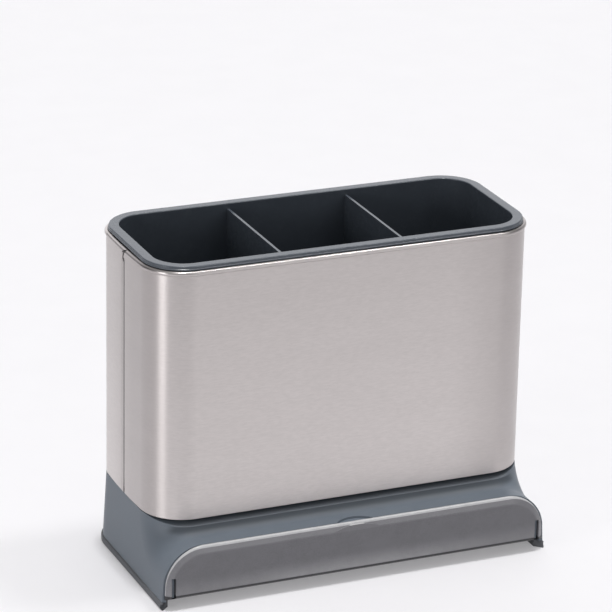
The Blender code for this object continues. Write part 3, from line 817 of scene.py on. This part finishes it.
def make_shell(material):
    """The base shell: flared skirt, bent hood to the front lip, collar, deck and tray runners."""
    shell = plate("shell_moulding", plan_outline(0.0), 0.0, SHELL_TOP)
    combine(shell, hood("outside", 0.0, 0.0, -2 * CUT_MARGIN), "UNION")
    half = SLEEVE_LENGTH / 2 + FRONT_REACH
    below = box("below", (-half, -half, -3 * CUT_MARGIN), (half, half, SHELL_FOOT))
    combine(shell, below, "DIFFERENCE")
    combine(shell, box("above", (-half, -half, SHELL_TOP), (half, half, SLEEVE_TOP)), "DIFFERENCE")
    inside = hood("inside", SHELL_WALL, CUT_MARGIN, -3 * CUT_MARGIN)
    combine(inside, box("top", (-half, -half, DECK_UNDER), (half, half, SLEEVE_TOP)), "DIFFERENCE")
    combine(shell, plate("hollow", plan_outline(SHELL_WALL), -CUT_MARGIN, DECK_UNDER), "DIFFERENCE")
    combine(shell, inside, "DIFFERENCE")
    flare_sides(shell)
    well = COLLAR_INSET + COLLAR_WALL
    collar = plate("collar", plan_outline(COLLAR_INSET), DECK_UNDER + TOUCH, COLLAR_TOP)
    combine(shell, collar, "UNION")
    bore = plate("well", plan_outline(well), SHELL_TOP, COLLAR_TOP + CUT_MARGIN)
    combine(shell, bore, "DIFFERENCE")
    drain = plan_outline(well + DECK_MARGIN)
    opening = plate("opening", drain, DECK_UNDER - CUT_MARGIN, COLLAR_TOP)
    combine(shell, opening, "DIFFERENCE")
    cut_front_slit(shell)
    back = PLAN_Y + SLEEVE_DEPTH / 2 - SLEEVE_CORNER
    for side in (-1, 1):
        ends = sorted((side * RUNNER_FACE, side * SLEEVE_LENGTH / 2))
        low = (ends[0], LIP_Y + RUNNER_SETBACK, RUNNER_BOTTOM)
        combine(shell, box("rib", low, (ends[1], back, RUNNER_TOP)), "UNION")
        ends = sorted((side * RUNNER_FACE, side * (RUNNER_FACE + SLOT_WIDTH - 2 * TOUCH)))
        low = (ends[0], FRONT_Y + NOSE_DEPTH, RUNNER_BOTTOM)
        high = (ends[1], LIP_Y + 2 * RUNNER_SETBACK, RUNNER_TOP)
        combine(shell, box("nose", low, high), "UNION")
    radius = chord_radius(NOTCH_WIDTH, NOTCH_DEPTH)
    outline = arc(NOTCH_CENTRE, LIP_Y + NOTCH_DEPTH - radius, radius, 0, 360, NOTCH_STEPS)
    notch = plate("notch", outline, LIP_TOP - NOTCH_SINK, LIP_TOP + NOTCH_SINK)
    combine(shell, notch, "DIFFERENCE")
    soften(shell, SHELL_EDGE, material)
    return shell


def make_foot(material):
    """The soft rim under the end and back walls, with a tongue that grips them inside."""
    flare = SHELL_FLARE * (SHELL_TOP - SHELL_FOOT) / SHELL_TOP
    outer = flare - FOOT_PROUD
    groove = SHELL_WALL + TOUCH
    inner = groove + TONGUE_WALL
    upper = arc(outer + FOOT_ROUND, FOOT_HEIGHT - FOOT_ROUND, FOOT_ROUND, 90, 180, FOOT_STEPS)
    lower = arc(outer + FOOT_ROUND, FOOT_ROUND, FOOT_ROUND, 180, 270, FOOT_STEPS)
    top = FOOT_HEIGHT + FOOT_RIDGE
    tongue = [(inner, 0.0), (inner, TONGUE_TOP), (groove, TONGUE_TOP)]
    ridge = [(groove, top), (0.0, top), (-FOOT_RIDGE_LEAN, FOOT_HEIGHT)]
    rings = []
    for inset, z in tongue + ridge + upper + lower:
        half_x = SLEEVE_LENGTH / 2 + flare - inset
        half_y = SLEEVE_DEPTH / 2 + flare - inset
        radius = SLEEVE_CORNER + flare - inset
        back = PLAN_Y + half_y - radius
        short = max(0, FOOT_NOSE - (inset - outer))
        front = FRONT_Y + FOOT_SETBACK + FOOT_NOSE - math.sqrt(FOOT_NOSE**2 - short**2)
        if inset >= groove:
            front += TONGUE_SETBACK
        path = [(half_x, front)] + arc(half_x - radius, back, radius, 0, 90, CORNER_STEPS)
        path += arc(radius - half_x, back, radius, 90, 180, CORNER_STEPS) + [(-half_x, front)]
        rings.append([(x, y, z) for x, y in path])
    sections = [list(section) for section in zip(*rings)]
    foot = solid_from("foot_rim_soft", sections)
    soften(foot, FOOT_EDGE, material)
    return foot


def bin_outline(half_x, inset):
    """The bin in plan, square at the front and rounded at the back."""
    front = FRONT_Y + (FLANGE_THICKNESS + FRONT_THICKNESS) / 2
    if inset > 0:
        front = FRONT_Y + FRONT_THICKNESS
    back = PLAN_Y + SLEEVE_DEPTH / 2 - SHELL_WALL - TRAY_BACK_GAP - inset
    radius = SLEEVE_CORNER - TRAY_BACK_GAP - inset
    return (
        [(-half_x + inset, front), (half_x - inset, front)]
        + arc(half_x - inset - radius, back - radius, radius, 0, 90, CORNER_STEPS)
        + arc(radius + inset - half_x, back - radius, radius, 90, 180, CORNER_STEPS)
    )


def bin_solid(name, inset, top):
    """The bin between the runners, with shoulders that ride on them, all within the lip's arch."""
    wide_half = SLEEVE_LENGTH / 2 - SHELL_WALL - TRAY_SIDE_GAP
    narrow_half = RUNNER_FACE - TRAY_SIDE_GAP
    solid = plate(name, bin_outline(wide_half, inset), RUNNER_TOP + RUNNER_GAP + inset, top)
    outline = lip_arch(SHELL_WALL + TRAY_SIDE_GAP + inset, -CUT_MARGIN)
    narrow = plate("narrow", bin_outline(narrow_half, inset), TRAY_FLOOR + inset, top)
    combine(solid, narrow, "UNION")
    combine(solid, plate("within", outline, FRONT_Y - CUT_MARGIN, SLEEVE_DEPTH, True), "INTERSECT")
    return solid


def front_rings():
    """Rings of the tray front: rounded outer edge, border that falls back, and flat panel."""
    half = SLEEVE_LENGTH / 2 - FLANGE_INSET
    border_y = FRONT_Y + BORDER_FALL + FRONT_EDGE * math.sin(math.radians(EDGE_TURN))
    levels = [(0.0, FRONT_Y + FLANGE_THICKNESS)]
    for deep, high in arc(0, 0, FRONT_EDGE, 0, EDGE_TURN, EDGE_STEPS):
        levels.append((FRONT_EDGE - deep, border_y - high))
    rings = []
    for inset, y in levels:
        outline = arch(half - inset, LIP_TOP - inset, LIP_CORNER - inset, TRAY_FLOOR + inset / 2)
        rings.append([(x, y, z) for x, z in outline])
    panel = arch(half - BORDER_SIDE, LIP_TOP - BORDER_TOP, LIP_CORNER - BORDER_CORNER, TRAY_FOOT)
    rings.append([(x, FRONT_Y, z) for x, z in panel])
    return rings


def make_tray(material):
    """The drip tray: an arched front that covers the shell's lip, and the bin behind it."""
    tray = solid_from("tray_moulding", front_rings())
    flare_sides(tray)
    behind, back = FRONT_Y + FLANGE_THICKNESS - TOUCH, FRONT_Y + FRONT_THICKNESS
    body = plate("body", lip_arch(SHELL_WALL + TOUCH, TRAY_FLOOR), behind, back, True)
    flare_sides(body)
    combine(tray, body, "UNION")
    radius = chord_radius(PAD_WIDTH, PAD_RISE)
    top = LIP_TOP - PAD_DROP
    spread = math.degrees(math.asin(PAD_WIDTH / 2 / radius))
    crown = arc(NOTCH_CENTRE, top - radius, radius, 90 - spread, 90 + spread, 2 * CORNER_STEPS)
    foot = top - PAD_RISE - BORDER_TOP / 2
    outline = [(NOTCH_CENTRE - PAD_WIDTH / 2, foot), (NOTCH_CENTRE + PAD_WIDTH / 2, foot)] + crown
    combine(tray, plate("pad", outline, FRONT_Y, behind, True), "UNION")
    combine(tray, bin_solid("bin", 0.0, TRAY_RIM), "UNION")
    combine(tray, bin_solid("bin_inside", TRAY_WALL, TRAY_RIM + TRAY_WALL), "DIFFERENCE")
    for side in (-1, 1):
        start = RUNNER_FACE - TOUCH
        ends = sorted((side * start, side * (start + SLOT_WIDTH)))
        low = (ends[0], FRONT_Y - CUT_MARGIN, RUNNER_BOTTOM - TOUCH)
        high = (ends[1], FRONT_Y + FRONT_THICKNESS + CUT_MARGIN, RUNNER_TOP + RUNNER_GAP)
        combine(tray, box("slot", low, high), "DIFFERENCE")
        ends = sorted((side * start, side * (SLEEVE_LENGTH / 2 + SHELL_FLARE)))
        low, high = (ends[0], FRONT_Y + FLANGE_THICKNESS, low[2]), (ends[1], high[1], high[2])
        combine(tray, box("room", low, high), "DIFFERENCE")
    soften(tray, FINE_EDGE, material, TRAY_SHARP_ANGLE)
    return tray


def make_insert(material):
    """The lift-out insert: rim, straight walls, two dividers and a slotted floor."""
    outer, inner = RIM_INSET, RIM_INNER_INSET
    under = INSERT_FLOOR - INSERT_FLOOR_THICKNESS
    ledge = RIM_SEAT + RIM_STEP_HEIGHT
    round_z = RIM_TOP - RIM_ROUND
    profile = [(inner, under)]
    profile += [(inner - RIM_ROUND + u, z) for u, z in arc(0, round_z, RIM_ROUND, 0, 90, RIM_STEPS)]
    profile += arc(outer + RIM_ROUND, round_z, RIM_ROUND, 90, 180, RIM_STEPS)
    profile += [(outer, ledge), (outer - RIM_STEP, ledge - RIM_STEP / 2)]
    profile += [(outer - RIM_STEP, RIM_SEAT), (WALL_OUTER_INSET, RIM_SEAT)]
    profile.append((WALL_OUTER_INSET, under))
    rings = [[(x, y, z) for x, y in without_repeats(plan_outline(inset))] for inset, z in profile]
    insert = solid_from("insert_moulding", rings, closed=True)
    middle_of_wall = WALL_OUTER_INSET + INSERT_WALL / 2
    combine(insert, plate("floor", plan_outline(middle_of_wall), under, INSERT_FLOOR), "UNION")
    end_y = SLEEVE_DEPTH / 2 - middle_of_wall
    for side in (-1, 1):
        middle = side * DIVIDER_SPACING / 2
        low = (middle - DIVIDER_WALL / 2, PLAN_Y - end_y, (under + INSERT_FLOOR) / 2)
        high = (middle + DIVIDER_WALL / 2, PLAN_Y + end_y, RIM_TOP - DIVIDER_DROP)
        combine(insert, box("divider", low, high), "UNION")
    end_middle = (DIVIDER_SPACING / 2 + SLEEVE_LENGTH / 2 - RIM_INNER_INSET) / 2
    radius = DRAIN_WIDTH / 2
    reach = DRAIN_LENGTH / 2 - radius
    for middle in (-end_middle, 0.0, end_middle):
        for x in (middle - DRAIN_LENGTH / 2 - DRAIN_WIDTH, middle + DRAIN_LENGTH / 2 + DRAIN_WIDTH):
            for row in range(DRAIN_ROWS):
                y = PLAN_Y + (row - DRAIN_ROWS // 2) * DRAIN_PITCH
                outline = arc(x + reach, y, radius, -90, 90, DRAIN_STEPS)
                outline += arc(x - reach, y, radius, 90, 270, DRAIN_STEPS)
                slot = plate("drain", outline, under - CUT_MARGIN, INSERT_FLOOR + CUT_MARGIN)
                combine(insert, slot, "DIFFERENCE")
    soften(insert, FINE_EDGE, material)
    return insert


def dress(piece, body, node):
    """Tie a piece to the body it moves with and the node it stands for."""
    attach(piece, body)
    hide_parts(node)


def make_stage():
    """A wide white floor, a little brighter to the camera and in reflections than it lights."""
    body = bmesh.new()
    circle = arc(0, 0, 1, 0, 360 - 360 / FLOOR_SIDES, FLOOR_SIDES - 1)
    rings = []
    for radius in FLOOR_RADII:
        rings.append([body.verts.new((radius * x, radius * y, 0.0)) for x, y in circle])
    body.faces.new(rings[0])
    for one, other in zip(rings, rings[1:]):
        join_rings(body, one, other)
    floor = object_from("floor", body)
    look = Look("floor_look")
    patches = look.spread(look.noise((30.0, 30.0, 30.0)), 0.0, 1.0)
    look.paint(look.mix(patches, *FLOOR_COLOURS))
    look.set(Roughness=0.8, Emission_Color=(*FLOOR_GLOW_COLOUR, 1.0))
    path = look.node("ShaderNodeLightPath")
    seen = look.math("MAXIMUM", path.outputs["Is Camera Ray"], path.outputs["Is Glossy Ray"])
    look.feed("Emission Strength", look.times(seen, FLOOR_GLOW))
    floor.data.materials.append(look.material)


def sun_light(name, direction, power, width):
    """A distant light from a direction, as wide as width degrees."""
    data = bpy.data.lights.new(name, "SUN")
    data.energy = power
    data.angle = math.radians(width)
    light = bpy.data.objects.new(name, data)
    light.matrix_world = Vector(direction).to_track_quat("Z", "Y").to_matrix().to_4x4()
    ROOM.objects.link(light)


def area_light(name, place, target, size, power):
    """A soft rectangular light aimed from place at target."""
    data = bpy.data.lights.new(name, "AREA")
    data.shape = "RECTANGLE"
    data.size, data.size_y = size
    data.energy = power
    light = bpy.data.objects.new(name, data)
    aim = (Vector(target) - Vector(place)).to_track_quat("-Z", "Y").to_matrix().to_4x4()
    light.matrix_world = Matrix.Translation(place) @ aim
    ROOM.objects.link(light)


def room_levels(nodes, direction):
    """The room's brightness by bearing, ending overhead in one even level."""
    across, along, up = nodes.split(direction)
    bearing = nodes.math("ARCTAN2", across, nodes.times(along, -1.0))
    ramp = nodes.node("ShaderNodeValToRGB")
    nodes.link(nodes.mapped(bearing, -math.pi, math.pi), ramp.inputs["Fac"])
    stops = ramp.color_ramp.elements
    for index, (angle, level) in enumerate(ROOM_LEVELS):
        place = (angle + 180) / 360
        stop = stops[index] if index < 2 else stops.new(place)
        stop.position = place
        stop.color = (*(level * share for share in ROOM_COLOUR), 1.0)
    return nodes.mix(nodes.step(up, *OVERHEAD_RISE), ramp.outputs["Color"], (OVERHEAD_LEVEL,) * 3)


def make_room():
    """The world: an uneven room round the object, which the camera sees as plain white."""
    world = bpy.data.worlds.new("room")
    bpy.context.scene.world = world
    world.use_nodes = True
    nodes = Nodes(world.node_tree)
    fill = nodes.tree.nodes["Background"]
    direction = nodes.node("ShaderNodeTexCoord").outputs["Generated"]
    nodes.link(room_levels(nodes, direction), fill.inputs["Color"])
    seen = nodes.node("ShaderNodeBackground")
    seen.inputs["Color"].default_value = (1.0, 1.0, 1.0, 1.0)
    seen.inputs["Strength"].default_value = 1.0
    path = nodes.node("ShaderNodeLightPath")
    mix = nodes.node("ShaderNodeMixShader")
    nodes.link(path.outputs["Is Camera Ray"], mix.inputs["Fac"])
    nodes.link(fill.outputs["Background"], mix.inputs[1])
    nodes.link(seen.outputs["Background"], mix.inputs[2])
    nodes.link(mix.outputs["Shader"], nodes.tree.nodes["World Output"].inputs["Surface"])


def make_light():
    """Light from above and from the upper right, a front panel, a left panel and the room."""
    for sun in SUNS:
        sun_light(*sun)
    for panel in PANELS:
        area_light(*panel)
    make_room()


def make_camera():
    """The camera at the photo's angle: 23.4 degrees round to the left and 20.8 degrees up."""
    azimuth, elevation = math.radians(CAMERA_AZIMUTH), math.radians(CAMERA_ELEVATION)
    roll = math.radians(CAMERA_ROLL)
    level = math.cos(elevation)
    back = Vector((math.sin(azimuth) * level, -math.cos(azimuth) * level, math.sin(elevation)))
    right = Vector((math.cos(azimuth), math.sin(azimuth), 0))
    up = back.cross(right)
    right, up = (
        right * math.cos(roll) + up * math.sin(roll),
        up * math.cos(roll) - right * math.sin(roll),
    )
    data = bpy.data.cameras.new("camera")
    data.sensor_width = CAMERA_SENSOR
    data.lens = CAMERA_LENS
    data.clip_end = CAMERA_REACH
    camera = bpy.data.objects.new("camera", data)
    place = CAMERA_TARGET + back * CAMERA_DISTANCE
    axes = Matrix((right, up, back)).transposed().to_4x4()
    camera.matrix_world = Matrix.Translation(place) @ axes
    ROOM.objects.link(camera)
    bpy.context.scene.camera = camera


SHELL_LOOK = shell_plastic()
TRAY_LOOK = tray_plastic()
INSERT_LOOK = satin_look("dark_grey_look", INSERT_COLOURS, roughness=0.26, grain=0.08).material
FOOT_LOOK = satin_look("soft_grey_look", FOOT_COLOURS, roughness=0.62, grain=0.20).material
SEAM_SHADE_LOOK = satin_look("seam_painted_shade_look", SEAM_SHADE_COLOURS, roughness=0.60, grain=0.20).material

dress(make_sleeve(brushed_steel()), "base", "steel_sleeve")
dress(make_seam_shade_strip(SEAM_SHADE_LOOK), "base", "steel_sleeve")
dress(make_shell(SHELL_LOOK), "base", "base_shell")
dress(make_foot(FOOT_LOOK), "base", "nonslip_foot_rim")
dress(make_tray(TRAY_LOOK), "tray", "drip_tray")
dress(make_insert(INSERT_LOOK), "insert", "cutlery_insert")
make_stage()
make_light()
make_camera()
bpy.context.scene.view_settings.view_transform = "Standard"
